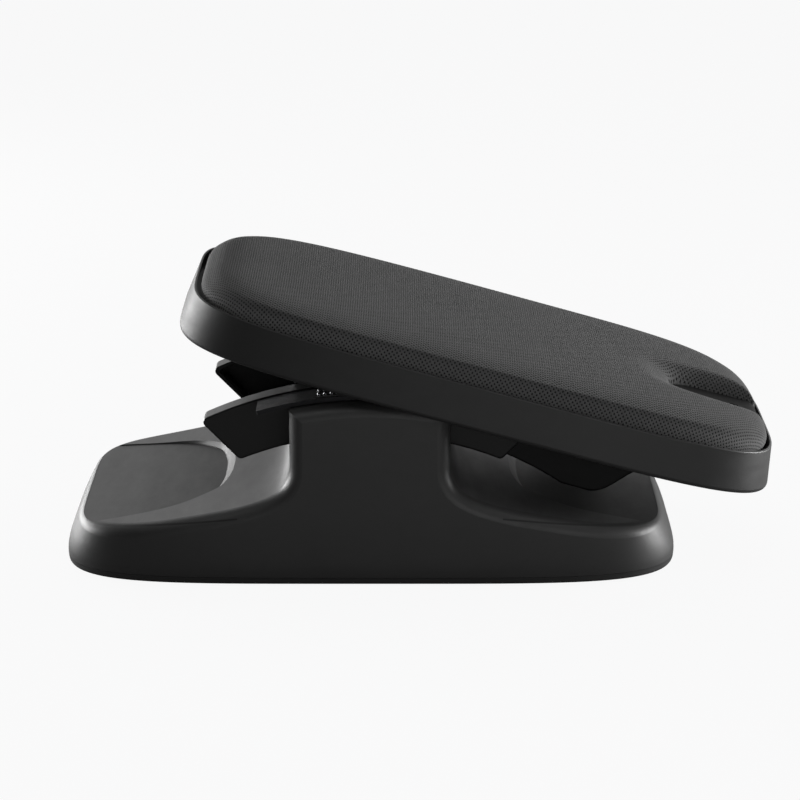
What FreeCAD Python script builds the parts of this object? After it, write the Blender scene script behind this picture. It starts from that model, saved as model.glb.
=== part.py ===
import FreeCAD, Part
import math
import os

# Rocking footrest: a weighted base with two fixed arc rails, and a padded
# platform on a roller carriage that glides along the arc.
# Frame: +X along the length, +Y across the depth, +Z up, millimetres.
# Origin: centre of the rubber sole, on the floor. The platform is built level
# and then turned about the arc centre to its resting tilt.

V = FreeCAD.Vector
os.makedirs("parts", exist_ok=True)

# ---------------------------------------------------------------- dimensions
ARC_Z = -146.2          # height of the arc centre line (below the floor)
TILT = 15.4             # tilt of the platform at rest, on its right-hand stop
SUP_N = 4.6             # plan shape exponent of the platform

# base
BASE_BOTTOM = 4.0       # underside of the pan above the floor
SOLE_A, SOLE_B = 206.0, 110.0
PAN_TOP = 9.0           # parting line of pan and shell
SEAM = 0.25
WALL = 3.2
# height, half length, half depth, plan exponent
BASE_SECT = [(BASE_BOTTOM, 222.4, 126.2, 4.8), (13.0, 222.8, 127.8, 4.8), (24.0, 219.4, 127.8, 5.1),
             (38.0, 212.6, 127.4, 5.6), (55.0, 207.0, 126.8, 5.6), (80.0, 200.0, 125.8, 5.6), (140.0, 178.0, 122.5, 5.6)]
PILLAR_X = 57.0
PILLAR_R = 281.7
PILLAR_FOOT = 87.8
WING = [(57.35, 84.0), (58.6, 79.6), (62.0, 73.8), (68.0, 68.8), (78.0, 63.8), (90.0, 60.0), (101.0, 57.2),
        (122.0, 53.1), (136.0, 50.5), (157.0, 46.9), (180.0, 43.9), (205.0, 41.5), (240.0, 38.2)]
DISH_Z, DISH_SLOPE = 40.3, 0.11   # dish floor at x 206, and its rise towards the pillars
TUNNEL_R = 244.0
TUNNEL_Y = 84.0
BASE_EDGE_R = 9.5

# fixed arc rails
RAIL_R0, RAIL_R1 = 247.7, 286.0
RAIL_Y0, RAIL_Y1 = 62.0, 81.0
RAIL_TOP_X, RAIL_TOP_Z = 122.5, 111.8
RAIL_BOT_X, RAIL_BOT_Z = 95.0, 83.8
CHAN_R0, CHAN_R1 = 251.0, 282.7
CHAN_WEB = 4.0
CHAN_RIM = 3.3
FLANGE_R0, FLANGE_R1 = 282.0, 285.0
FLANGE_Y1 = 109.0
FLANGE_HALF = 16.45     # degrees
FLANGE_LEG_HALF = 10.0  # degrees
BALL_R = 1.5
BALL_ROWS = (94.0, 104.0)
BALL_PITCH = 0.9        # degrees along the arc
BALL_N = 17
MOUNT_PLATE = 3.0
BUMPER_T = 1.0

# platform (built level, heights measured from the arc centre)
PLAT_X = 2.0
RIM_Z0, RIM_Z1 = 274.0, 305.0
RIM_A0, RIM_B0, RIM_X0 = 222.6, 128.0, 2.8
RIM_A1, RIM_B1, RIM_X1 = 217.6, 126.8, 1.8
LIP = 1.4
SKIRT = 3.2
FLOOR_Z0, FLOOR_Z1 = 290.5, 293.5
RIM_EDGE_R = 3.0
MOV_RAIL_R = 288.4
MOV_RAIL_HALF = 20.75
MOV_RAIL_Y0, MOV_RAIL_Y1 = 83.3, 107.5
KEEL_Y = 60.5
KEEL_R = 247.5
KEEL_T = 3.0

# pad
PAD_A, PAD_B = 213.0, 122.0
PAD_Z0 = 294.0
PAD_SECT = [(0.0, 0.0, 0.0), (307.5, 0.0, 0.0), (311.5, 2.2, 0.4), (315.5, 6.8, 1.7), (318.7, 12.6, 3.9),
            (321.2, 21.4, 7.3), (322.7, 36.0, 12.5), (323.4, 58.0, 24.0)]
COVER_T = 1.2
NOTCH_X, NOTCH_Y = 146.0, 27.6
NOTCH_TOP_X, NOTCH_TOP_Y = 121.0, 41.5
TRIM_TOP = 309.5
BOARD_TOP = 297.5

# guide rollers
ROLL_R = 15.5
ROLL_TRACK = 266.85
ROLL_ANG = 3.6
ROLL_Y0, ROLL_Y1 = 64.2, 75.2
AXLE_R = 4.0
BUSH_R = 7.0
FIT = 0.05


# ------------------------------------------------------------------- helpers
def sup_points(a, b, n, z, cx=0.0, count=64):
    dense = []
    m = 2880
    for i in range(m):
        t = 2.0 * math.pi * i / m
        c, s = math.cos(t), math.sin(t)
        dense.append((cx + a * math.copysign(abs(c) ** (2.0 / n), c),
                      b * math.copysign(abs(s) ** (2.0 / n), s)))
    dense.append(dense[0])
    run = [0.0]
    for p, q in zip(dense, dense[1:]):
        run.append(run[-1] + math.hypot(q[0] - p[0], q[1] - p[1]))
    out, j = [], 0
    for i in range(count):
        s = run[-1] * i / count
        while run[j + 1] < s:
            j += 1
        f = (s - run[j]) / max(run[j + 1] - run[j], 1e-9)
        out.append(V(dense[j][0] + f * (dense[j + 1][0] - dense[j][0]),
                     dense[j][1] + f * (dense[j + 1][1] - dense[j][1]), z))
    return out


def closed_spline(points):
    c = Part.BSplineCurve()
    c.interpolate(Points=points, PeriodicFlag=True)
    return Part.Wire([c.toShape()])


def sup_wire(a, b, z, cx=0.0, n=SUP_N, count=64):
    return closed_spline(sup_points(a, b, n, z, cx, count))


def sup_loft(sections, cx=0.0, n=SUP_N, ruled=False):
    return Part.makeLoft([sup_wire(s[1], s[2], s[0], cx, s[3] if len(s) > 3 else n) for s in sections], True, ruled)


def sup_plate(a, b, z0, z1, cx=0.0, n=SUP_N):
    return Part.Face(sup_wire(a, b, z0, cx, n)).extrude(V(0, 0, z1 - z0))


def arc_pt(r, deg, y=0.0):
    t = math.radians(deg)
    return V(r * math.sin(t), y, ARC_Z + r * math.cos(t))


def line(p, q):
    return Part.LineSegment(p, q).toShape()


def arc3(p, m, q):
    return Part.Arc(p, m, q).toShape()


def prism_y(edges, y0, y1):
    face = Part.Face(Part.Wire(edges))
    face.translate(V(0, y0, 0))
    return face.extrude(V(0, y1 - y0, 0))


def poly_y(points, y0, y1):
    pts = [V(x, 0, z) for x, z in points]
    pts.append(pts[0])
    face = Part.Face(Part.makePolygon(pts))
    face.translate(V(0, y0, 0))
    return face.extrude(V(0, y1 - y0, 0))


def cyl_y(r, x, z, y0, y1):
    return Part.makeCylinder(r, y1 - y0, V(x, y0, z), V(0, 1, 0))


def cyl_z(r, x, y, z0, z1):
    return Part.makeCylinder(r, z1 - z0, V(x, y, z0), V(0, 0, 1))


def arc_band(r0, r1, half, y0, y1):
    return prism_y([arc3(arc_pt(r1, -half), arc_pt(r1, 0), arc_pt(r1, half)),
                    line(arc_pt(r1, half), arc_pt(r0, half)),
                    arc3(arc_pt(r0, half), arc_pt(r0, 0), arc_pt(r0, -half)),
                    line(arc_pt(r0, -half), arc_pt(r1, -half))], y0, y1)


def y_edges(shape, test=None):
    out = []
    for e in shape.Edges:
        a, b = e.Vertexes[0].Point, e.Vertexes[-1].Point
        if abs(a.x - b.x) < 1e-4 and abs(a.z - b.z) < 1e-4 and abs(a.y - b.y) > 1e-3:
            if test is None or test(a):
                out.append(e)
    return out


def face_edges_at_y(shape, y):
    out = []
    for e in shape.Edges:
        if all(abs(v.Point.y - y) < 1e-4 for v in e.Vertexes):
            c = e.CenterOfMass
            if abs(c.y - y) < 1e-3:
                out.append(e)
    return out


def try_fillet(shape, radius, edges, name):
    for k in (1.0, 0.8, 0.6, 0.4):
        try:
            out = shape.makeFillet(radius * k, edges)
            if out.isValid() and out.Volume > 0.5 * shape.Volume:
                if k != 1.0:
                    print("fillet", name, "reduced to", radius * k)
                return out
        except Exception as err:
            last = err
    print("fillet", name, "left out")
    return shape


def one_solid(shape):
    solids = shape.Solids
    if len(solids) == 1:
        return solids[0]
    return shape


def mirror_y(shape):
    return shape.mirror(V(0, 0, 0), V(0, 1, 0))


def tilt(shape):
    s = shape.copy()
    s.rotate(V(0, 0, ARC_Z), V(0, 1, 0), TILT)
    return s


def export(name, shape):
    solids = shape.Solids
    out = solids[0] if len(solids) == 1 else Part.makeCompound(solids)
    bb = out.BoundBox
    print("%-22s solids %3d valid %s vol %10.1f  x %.1f %.1f  y %.1f %.1f  z %.1f %.1f" % (
        name, len(solids), out.isValid(), out.Volume, bb.XMin, bb.XMax, bb.YMin, bb.YMax, bb.ZMin, bb.ZMax))
    out.exportStep("parts/%s.step" % name)


# ---------------------------------------------------------------------- base
# wing and pillar outline seen from the front
def wing_spline(sign):
    pts = [V(sign * PILLAR_X, 0, PILLAR_FOOT)] + [V(sign * x, 0, z) for x, z in WING]
    c = Part.BSplineCurve()
    c.interpolate(Points=pts)
    return c.toShape(), pts[-1]


pillar_top_z = ARC_Z + math.sqrt(PILLAR_R ** 2 - PILLAR_X ** 2)
right, pr = wing_spline(1.0)
left, pl = wing_spline(-1.0)
profile = [
    arc3(V(-PILLAR_X, 0, pillar_top_z), V(0, 0, ARC_Z + PILLAR_R), V(PILLAR_X, 0, pillar_top_z)),
    line(V(PILLAR_X, 0, pillar_top_z), V(PILLAR_X, 0, PILLAR_FOOT)), right,
    line(pr, V(pr.x, 0, -5.0)), line(V(pr.x, 0, -5.0), V(pl.x, 0, -5.0)), line(V(pl.x, 0, -5.0), pl),
    left, line(V(-PILLAR_X, 0, PILLAR_FOOT), V(-PILLAR_X, 0, pillar_top_z))]
envelope = prism_y(Part.__sortEdges__(profile), -130.0, 130.0)
outer = sup_loft(BASE_SECT)
body = one_solid(outer.common(envelope))

round_edges = []
for e in body.Edges:
    c = e.CenterOfMass
    if c.z < 20.0:
        continue
    faces = body.ancestorsOfType(e, Part.Face)
    if len(faces) != 2:
        continue
    a, b = e.Vertexes[0].Point, e.Vertexes[-1].Point
    along_y = abs(a.x - b.x) < 0.01 and abs(a.z - b.z) < 0.01
    if along_y:
        continue
    round_edges.append(e)
body = try_fillet(body, BASE_EDGE_R, round_edges, "base edge")

# tunnel between the pillars, along the arc
tunnel = Part.makeBox(400, 2 * TUNNEL_Y, 200, V(-200, -TUNNEL_Y, 40)).cut(
    cyl_y(TUNNEL_R, 0, ARC_Z, -TUNNEL_Y - 1, TUNNEL_Y + 1))
tunnel = tunnel.common(Part.makeBox(2 * PILLAR_X + 30, 300, 300, V(-PILLAR_X - 15, -150, 40)))
body = one_solid(body.cut(tunnel))


# shallow foot-wide dish in each wing, with a flat floor that runs out at the wing's end
def dish(sign):
    def outline(z, grow, inner):
        half = [(262.0, 0.0), (260.0, 60.0), (250.0, 100.0), (226.0, 112.0 + grow), (200.0, 105.0 + grow),
                (180.0, 99.5 + grow), (166.0, 95.0 + grow), (152.0, 91.0 + grow), (139.0, 84.5 + grow),
                (128.0 + 0.2 * inner, 76.5 + grow), (118.6 + 0.45 * inner, 67.0 + grow),
                (110.6 + 0.8 * inner, 57.6 + grow * 0.6), (105.6 + inner, 41.0),
                (103.4 + inner, 22.0), (102.8 + inner, 0.0)]
        pts = [V(sign * x, y, z) for x, y in half] + [V(sign * x, -y, z) for x, y in half[-2:0:-1]]
        return closed_spline(pts)
    tool = Part.makeLoft([outline(40.0, -8.0, 17.0), outline(58.0, 1.5, -1.6), outline(70.0, 7.8, -14.0)], True, True)
    rise = lambda x: DISH_Z + (206.0 - x) * DISH_SLOPE
    wedge = poly_y([(sign * 265.0, rise(265.0)), (sign * 90.0, rise(90.0)), (sign * 90.0, 90.0), (sign * 265.0, 90.0)], -120, 120)
    return tool.common(wedge)


for sgn in (1.0, -1.0):
    body = one_solid(body.cut(dish(sgn)))

# inside of the shell
inner_sect = [(z, a - WALL, b - WALL, n) for z, a, b, n in BASE_SECT]
inner_sect[0] = (1.0, BASE_SECT[0][1] - WALL, BASE_SECT[0][2] - WALL, BASE_SECT[0][3])
inner_loft = sup_loft(inner_sect)
in_top = ARC_Z + math.sqrt((PILLAR_R - 3.0) ** 2 - 54.0 ** 2)
half = [(54.0, in_top), (54.0, 86.0), (55.4, 78.3), (59.2, 70.6), (65.6, 64.8), (76.2, 59.4), (89.0, 55.4),
        (97.0, 52.4), (103.0, 48.0), (106.0, 41.2), (207.0, 36.2), (238.0, 34.0), (238.0, -5.0)]
inner_profile = [V(x, 0, z) for x, z in half] + [V(-x, 0, z) for x, z in half[::-1]]
in_edges = [line(p, q) for p, q in zip(inner_profile, inner_profile[1:])]
in_edges.append(arc3(inner_profile[-1], V(0, 0, ARC_Z + PILLAR_R - 3.0), inner_profile[0]))
cavity = inner_loft.common(prism_y(in_edges, -130.0, 130.0))
roof = Part.makeBox(400, 2 * (TUNNEL_Y + 3.0), 200, V(-200, -TUNNEL_Y - 3.0, 40)).cut(
    cyl_y(TUNNEL_R - 3.0, 0, ARC_Z, -100, 100))
roof = roof.common(Part.makeBox(200, 300, 300, V(-100, -150, 60)))
cavity = cavity.cut(roof)
shell = body.cut(cavity)
shell = shell.common(Part.makeBox(600, 400, 300, V(-300, -200, PAN_TOP + SEAM)))
BOSSES = [(170.0, 70.0, 41.6), (-170.0, 70.0, 41.6), (170.0, -70.0, 41.6), (-170.0, -70.0, 41.6),
          (86.0, 0.0, 57.4), (-86.0, 0.0, 57.4)]
PAN_FLOOR = BASE_BOTTOM + 3.0
for x, y, top in BOSSES:
    shell = shell.fuse(cyl_z(4.6, x, y, PAN_FLOOR, top))
for x, y, top in BOSSES:
    shell = shell.cut(cyl_z(1.55, x, y, PAN_FLOOR - 1.0, PAN_FLOOR + 14.0))

# screw holes for the rails in the pillar walls
SCREW_ANG = (-9.0, -3.0, 3.0, 9.0)
for ang in SCREW_ANG:
    p = arc_pt(ROLL_TRACK, ang)
    for y0, y1 in ((-TUNNEL_Y - 5, -TUNNEL_Y + 1), (TUNNEL_Y - 1, TUNNEL_Y + 5)):
        shell = shell.cut(cyl_y(2.55, p.x, p.z, y0, y1))
shell = one_solid(shell)
export("base_shell", shell)

# pan that closes the shell from below
pan = outer.common(Part.makeBox(600, 400, PAN_TOP - BASE_BOTTOM, V(-300, -200, BASE_BOTTOM)))
pan = one_solid(pan)
bottom_edges = [e for e in pan.Edges if abs(e.CenterOfMass.z - BASE_BOTTOM) < 0.02]
pan = try_fillet(pan, 2.0, bottom_edges, "pan edge")
pan = pan.cut(sup_plate(219.4, 123.4, PAN_FLOOR, PAN_TOP + 1, n=4.8))
for x, y, top in BOSSES:
    pan = pan.cut(cyl_z(1.75, x, y, 0, 10)).cut(cyl_z(3.3, x, y, 0, BASE_BOTTOM + 1.7))
for x in (-150, -100, -50, 50, 100, 150):
    pan = pan.fuse(Part.makeBox(1.6, 150, 1.8, V(x - 0.8, -75, PAN_FLOOR)))
pan = one_solid(pan)
export("base_pan", pan)

export("rubber_sole", sup_plate(SOLE_A, SOLE_B, 0.0, BASE_BOTTOM))

screws = []
for x, y, top in BOSSES:
    screws.append(cyl_z(3.1, x, y, BASE_BOTTOM + 0.1, BASE_BOTTOM + 1.7).fuse(
        cyl_z(1.5, x, y, BASE_BOTTOM + 1.7, PAN_FLOOR + 12.0)).removeSplitter())
export("base_screws", Part.makeCompound(screws))

# steel ballast bars that keep the base planted
bars = []
for sx in (-1, 1):
    b = Part.makeBox(26, 116, 16, V(sx * 118 - 13, -58, PAN_FLOOR + 1.8))
    b = b.makeFillet(2.0, [e for e in b.Edges if abs(e.Length - 16) < 1e-6])
    bars.append(b)
export("ballast_bars", Part.makeCompound(bars))


# ------------------------------------------------------------ fixed arc rail
def rail_outline(grow, y0, y1, r_corner):
    # crescent with 45 degree ends; grow < 0 gives the channel pocket
    r0 = RAIL_R0 - grow if grow >= 0 else CHAN_R0
    r1 = RAIL_R1 + grow if grow >= 0 else CHAN_R1
    dx, dz = RAIL_BOT_X - RAIL_TOP_X, RAIL_BOT_Z - RAIL_TOP_Z
    length = math.hypot(dx, dz)
    nx, nz = -dz / length, dx / length          # outward normal of the right end
    ox, oz = RAIL_TOP_X + nx * grow, RAIL_TOP_Z + nz * grow

    def hit(r):
        # end line meets the circle of radius r
        ux, uz = dx / length, dz / length
        px, pz = ox, oz - ARC_Z
        b = px * ux + pz * uz
        c = px * px + pz * pz - r * r
        disc = math.sqrt(b * b - c)
        best = min((-b - disc, -b + disc), key=lambda t: abs(t))
        return px + best * ux, pz + best * uz + ARC_Z
    tx, tz = hit(r1)
    bx, bz = hit(r0)
    edges = [arc3(V(-tx, 0, tz), V(0, 0, ARC_Z + r1), V(tx, 0, tz)), line(V(tx, 0, tz), V(bx, 0, bz)),
             arc3(V(bx, 0, bz), V(0, 0, ARC_Z + r0), V(-bx, 0, bz)), line(V(-bx, 0, bz), V(-tx, 0, tz))]
    s = prism_y(edges, y0, y1)
    return s.makeFillet(r_corner, y_edges(s))


housing = rail_outline(0.0, -RAIL_Y1, -RAIL_Y0, 4.0)
housing = try_fillet(housing, 1.6, face_edges_at_y(housing, -RAIL_Y1), "rail outer edge")
channel = rail_outline(-CHAN_RIM, -RAIL_Y1 + CHAN_WEB, -RAIL_Y0 + 1.0, 1.8)
housing = housing.cut(channel)
housing = try_fillet(housing, 0.8, [e for e in face_edges_at_y(housing, -RAIL_Y0)], "rail inner edge")
for ang in SCREW_ANG:
    p = arc_pt(ROLL_TRACK, ang)
    housing = housing.cut(cyl_y(2.55, p.x, p.z, -RAIL_Y1 - 1, -RAIL_Y0))
    housing = housing.cut(cyl_y(4.5, p.x, p.z, -RAIL_Y1 + CHAN_WEB - 2.4, -RAIL_Y0))
housing = one_solid(housing)
export("near_rail_housing", housing)
export("far_rail_housing", mirror_y(housing))

# slide flange: arc shelf on the outside of the rail with a leg behind the pillar
flange = arc_band(FLANGE_R0, FLANGE_R1, FLANGE_HALF, -FLANGE_Y1, -RAIL_Y1)
leg = arc_band(258.0, FLANGE_R1, FLANGE_LEG_HALF, -TUNNEL_Y, -RAIL_Y1)
for ang in SCREW_ANG:
    p = arc_pt(ROLL_TRACK, ang)
    leg = leg.cut(cyl_y(2.55, p.x, p.z, -TUNNEL_Y - 1, -RAIL_Y1 + 1))
flange = one_solid(flange.fuse(leg).removeSplitter())
corner = [e for e in flange.Edges if abs(e.Length - (FLANGE_R1 - FLANGE_R0)) < 1e-3
          and abs(e.CenterOfMass.y + FLANGE_Y1) < 1e-3]
flange = try_fillet(flange, 1.5, corner, "flange corner")
export("near_slide_flange", flange)
export("far_slide_flange", mirror_y(flange))

# captive ball strip on each flange
strip_half = BALL_PITCH * (BALL_N - 1) / 2.0 + 0.6
strip = arc_band(FLANGE_R1, FLANGE_R1 + 1.2, strip_half, -BALL_ROWS[1] - 3.0, -BALL_ROWS[0] + 3.0)
balls, holes = [], []
for i in range(BALL_N):
    ang = BALL_PITCH * (i - (BALL_N - 1) / 2.0)
    t = math.radians(ang)
    for y in BALL_ROWS:
        c = arc_pt(FLANGE_R1 + 0.05 + BALL_R, ang, -y)
        balls.append(Part.makeSphere(BALL_R, c))
        holes.append(Part.makeCylinder(BALL_R + 0.08, 4.0, arc_pt(FLANGE_R1 - 1.0, ang, -y),
                                       V(math.sin(t), 0, math.cos(t))))
strip = one_solid(strip.cut(Part.makeCompound(holes)))
export("near_ball_strip", strip)
export("far_ball_strip", mirror_y(strip))
ball_set = Part.makeCompound(balls)
export("near_bearing_balls", ball_set)
export("far_bearing_balls", mirror_y(ball_set))

# steel plate inside each pillar that the rail screws bite into
y_in = TUNNEL_Y + 3.0
plate = Part.makeBox(92, MOUNT_PLATE, 52, V(-46, -y_in - MOUNT_PLATE, 71.0))
plate = plate.makeFillet(4.0, y_edges(plate))
for ang in SCREW_ANG:
    p = arc_pt(ROLL_TRACK, ang)
    plate = plate.cut(cyl_y(2.5, p.x, p.z, -100, -80))
export("near_mount_plate", plate)
export("far_mount_plate", mirror_y(plate))

rail_screws = []
for ang in SCREW_ANG:
    p = arc_pt(ROLL_TRACK, ang)
    head = cyl_y(4.4, p.x, p.z, -RAIL_Y1 + CHAN_WEB - 2.4, -RAIL_Y1 + CHAN_WEB - 0.2)
    hexa = Part.makePolygon([V(p.x + 1.7 * math.cos(math.radians(60 * k)), -RAIL_Y1 + CHAN_WEB - 0.1,
                               p.z + 1.7 * math.sin(math.radians(60 * k))) for k in range(7)])
    socket = Part.Face(hexa).extrude(V(0, -1.5, 0))
    shank = cyl_y(2.5, p.x, p.z, -y_in - MOUNT_PLATE - 1.0, -RAIL_Y1 + CHAN_WEB - 2.4)
    rail_screws.append(head.fuse(shank).removeSplitter().cut(socket))
rail_screws += [mirror_y(s) for s in rail_screws]
export("rail_screws", Part.makeCompound(rail_screws))

# rubber stops at the four channel ends
bumpers = []
dx, dz = RAIL_BOT_X - RAIL_TOP_X, RAIL_BOT_Z - RAIL_TOP_Z
length = math.hypot(dx, dz)
ux, uz = dx / length, dz / length
nx, nz = -uz, ux
for sx in (1, -1):
    mx, mz = (RAIL_TOP_X + RAIL_BOT_X) / 2.0, (RAIL_TOP_Z + RAIL_BOT_Z) / 2.0
    o = -CHAN_RIM
    pts = []
    for along, across in ((-9, o), (9, o), (9, o - BUMPER_T), (-9, o - BUMPER_T)):
        pts.append((sx * (mx + ux * along + nx * across), mz + uz * along + nz * across))
    bumpers.append(poly_y(pts, -RAIL_Y1 + CHAN_WEB + 0.5, -RAIL_Y0 - 1.0))
bumpers += [mirror_y(s) for s in bumpers]
export("rail_end_bumpers", Part.makeCompound(bumpers))


# ------------------------------------------------------------------ platform
def zl(h):
    return ARC_Z + h


def rim_loft(inset0, inset1, low, high):
    # tapered ring shape of the tray, its ends drafted a little differently
    return Part.makeLoft([sup_wire(RIM_A0 - inset0, RIM_B0 - inset0, zl(RIM_Z0) + low, RIM_X0),
                          sup_wire(RIM_A1 - inset1, RIM_B1 - inset1, zl(high), RIM_X1)], True, True)


rim = rim_loft(0.0, 0.0, 0.0, RIM_Z1)
rim = try_fillet(rim, RIM_EDGE_R, [e for e in rim.Edges if abs(e.CenterOfMass.z - zl(RIM_Z0)) < 0.02], "rim bottom")
rim = try_fillet(rim, 0.8, [e for e in rim.Edges if abs(e.CenterOfMass.z - zl(RIM_Z1)) < 0.02], "rim top")
pocket = sup_plate(RIM_A1 - LIP, RIM_B1 - LIP, zl(FLOOR_Z1), zl(RIM_Z1) + 5, RIM_X1)
under = rim_loft(SKIRT, SKIRT + 0.4, -5.0, FLOOR_Z0)
tray = rim.cut(pocket).cut(under)
ribs = []
for x in (-196, -172, 176, 200):
    ribs.append(Part.makeBox(2.2, 256, 12.0, V(x - 1.1, -128, zl(FLOOR_Z0) - 12.0 + 0.5)))
for y in (-70, -35, 0, 35, 70):
    ribs.append(Part.makeBox(60, 2.2, 10.0, V(-225, y - 1.1, zl(FLOOR_Z0) - 10.0 + 0.5)))
    ribs.append(Part.makeBox(60, 2.2, 10.0, V(169, y - 1.1, zl(FLOOR_Z0) - 10.0 + 0.5)))
inside = rim_loft(1.0, 1.0, 0.0, RIM_Z1)
for r in ribs:
    tray = tray.fuse(r.common(inside))
MOV_SCREWS = [(sx * x, sy * 95.4) for x in (58.0, 86.0) for sx in (-1, 1) for sy in (-1, 1)]
KEEL_SCREWS = [(sx * x, sy * 51.5) for x in (62.0, 118.0) for sx in (-1, 1) for sy in (-1, 1)]
BOARD_SCREWS = [(sx * 150.0 + PLAT_X, sy * 84.0) for sx in (-1, 1) for sy in (-1, 1)] + [(-150.0 + PLAT_X, 0.0)]
for x, y in MOV_SCREWS + KEEL_SCREWS:
    tray = tray.cut(cyl_z(2.1, x, y, zl(FLOOR_Z0) - 1, zl(FLOOR_Z1) + 1)).cut(cyl_z(3.8, x, y, zl(FLOOR_Z1) - 1.5, zl(FLOOR_Z1) + 1))
for x, y in BOARD_SCREWS:
    tray = tray.cut(cyl_z(2.1, x, y, zl(FLOOR_Z0) - 1, zl(FLOOR_Z1) + 1))
tray = one_solid(tray)
export("platform_tray", tilt(tray))


# carriage: keel that runs between the two rails
def keel_outline(inset, top):
    r = KEEL_R + inset
    a = 18.6
    c = arc_pt(r, a)
    lower = [(98.0, 234.4), (104.5, 235.5), (110.0, 238.6), (128.5, 257.0), (141.5, 271.0), (153.0, 283.6), (157.0, 290.5)]
    off = []
    for k, (x, h) in enumerate(lower):
        nrm = [(0.15, -1.0), (0.35, -0.94), (0.6, -0.8), (0.7, -0.71), (0.72, -0.69), (0.76, -0.65), (0.9, -0.43)][k]
        off.append((x - nrm[0] * inset, h - nrm[1] * inset))
    off = [(x, min(h, top)) for x, h in off]
    right_pts = [V(x, 0, ARC_Z + h) for x, h in off]
    right_pts[-1] = V(off[-1][0], 0, ARC_Z + top)
    left_pts = [V(-p.x, 0, p.z) for p in right_pts]
    e = [arc3(V(-c.x, 0, c.z), V(0, 0, ARC_Z + r), c)]

    def side(pts, start):
        seg = [line(start, pts[0])]
        c3 = Part.BSplineCurve()
        c3.interpolate(Points=pts[0:4])
        seg.append(c3.toShape())
        for p, q in zip(pts[3:], pts[4:]):
            seg.append(line(p, q))
        return seg
    e += side(right_pts, c)
    e.append(line(right_pts[-1], left_pts[-1]))
    e += side(left_pts, V(-c.x, 0, c.z))
    return Part.__sortEdges__(e)


keel = prism_y(keel_outline(0.0, FLOOR_Z0), -KEEL_Y, KEEL_Y)
keel_side = []
for y in (-KEEL_Y, KEEL_Y):
    keel_side += [e for e in face_edges_at_y(keel, y) if e.CenterOfMass.z < zl(FLOOR_Z0) - 6.0]
keel = try_fillet(keel, 1.5, keel_side, "keel edge")
keel_in = prism_y(keel_outline(KEEL_T, FLOOR_Z0 + 2.0), -KEEL_Y + KEEL_T, KEEL_Y - KEEL_T)
keel = keel.cut(keel_in)
for x, y in KEEL_SCREWS:
    low = 248.0 if abs(x) < 90 else 264.0
    keel = keel.fuse(cyl_z(6.2, x, y, zl(low), zl(FLOOR_Z0)).common(
        Part.makeBox(400, 2 * KEEL_Y - 1, 100, V(-200, -KEEL_Y + 0.5, zl(245.0)))))
for ang in (-ROLL_ANG, ROLL_ANG):
    p = arc_pt(ROLL_TRACK, ang)
    for y0, y1 in ((-KEEL_Y + 1.0, -KEEL_Y + 17.0), (KEEL_Y - 17.0, KEEL_Y - 1.0)):
        keel = keel.fuse(cyl_y(8.0, p.x, p.z, y0, y1))
# cross wall that ties the two axle rows together
keel = keel.fuse(Part.makeBox(3.0, 2 * KEEL_Y - 2, 38.0, V(-1.5, -KEEL_Y + 1, zl(249.0))))
for ang in (-ROLL_ANG, ROLL_ANG):
    p = arc_pt(ROLL_TRACK, ang)
    for y0, y1 in ((-KEEL_Y - 1.0, -KEEL_Y + 16.0), (KEEL_Y - 16.0, KEEL_Y + 1.0)):
        keel = keel.cut(cyl_y(AXLE_R, p.x, p.z, y0, y1))
for x, y in KEEL_SCREWS:
    keel = keel.cut(cyl_z(1.75, x, y, zl(FLOOR_Z0) - 14.0, zl(FLOOR_Z0) + 1))
keel = one_solid(keel)
export("carriage_keel", tilt(keel))

# moving rails under the tray, they ride on the ball strips
mx = MOV_RAIL_R * math.sin(math.radians(MOV_RAIL_HALF))
mz = MOV_RAIL_R * math.cos(math.radians(MOV_RAIL_HALF))
mov = prism_y([line(V(-mx, 0, zl(FLOOR_Z0)), V(mx, 0, zl(FLOOR_Z0))), line(V(mx, 0, zl(FLOOR_Z0)), V(mx, 0, zl(mz))),
               arc3(V(mx, 0, zl(mz)), V(0, 0, zl(MOV_RAIL_R)), V(-mx, 0, zl(mz))),
               line(V(-mx, 0, zl(mz)), V(-mx, 0, zl(FLOOR_Z0)))], -MOV_RAIL_Y1, -MOV_RAIL_Y0)
for x, y in MOV_SCREWS:
    if y < 0:
        mov = mov.cut(cyl_z(1.75, x, y, zl(FLOOR_Z0) - 6.4, zl(FLOOR_Z0) + 1))
export("near_moving_rail", tilt(mov))
export("far_moving_rail", tilt(mirror_y(mov)))

plat_screws = []
for x, y in MOV_SCREWS + KEEL_SCREWS:
    n = 6.2 if (x, y) in MOV_SCREWS else 12.0
    s = cyl_z(3.7, x, y, zl(FLOOR_Z1) - 1.5, zl(FLOOR_Z1) - 0.05).fuse(
        cyl_z(1.7, x, y, zl(FLOOR_Z0) - n, zl(FLOOR_Z1) - 1.5)).removeSplitter()
    plat_screws.append(tilt(s))
export("platform_screws", Part.makeCompound(plat_screws))

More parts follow.
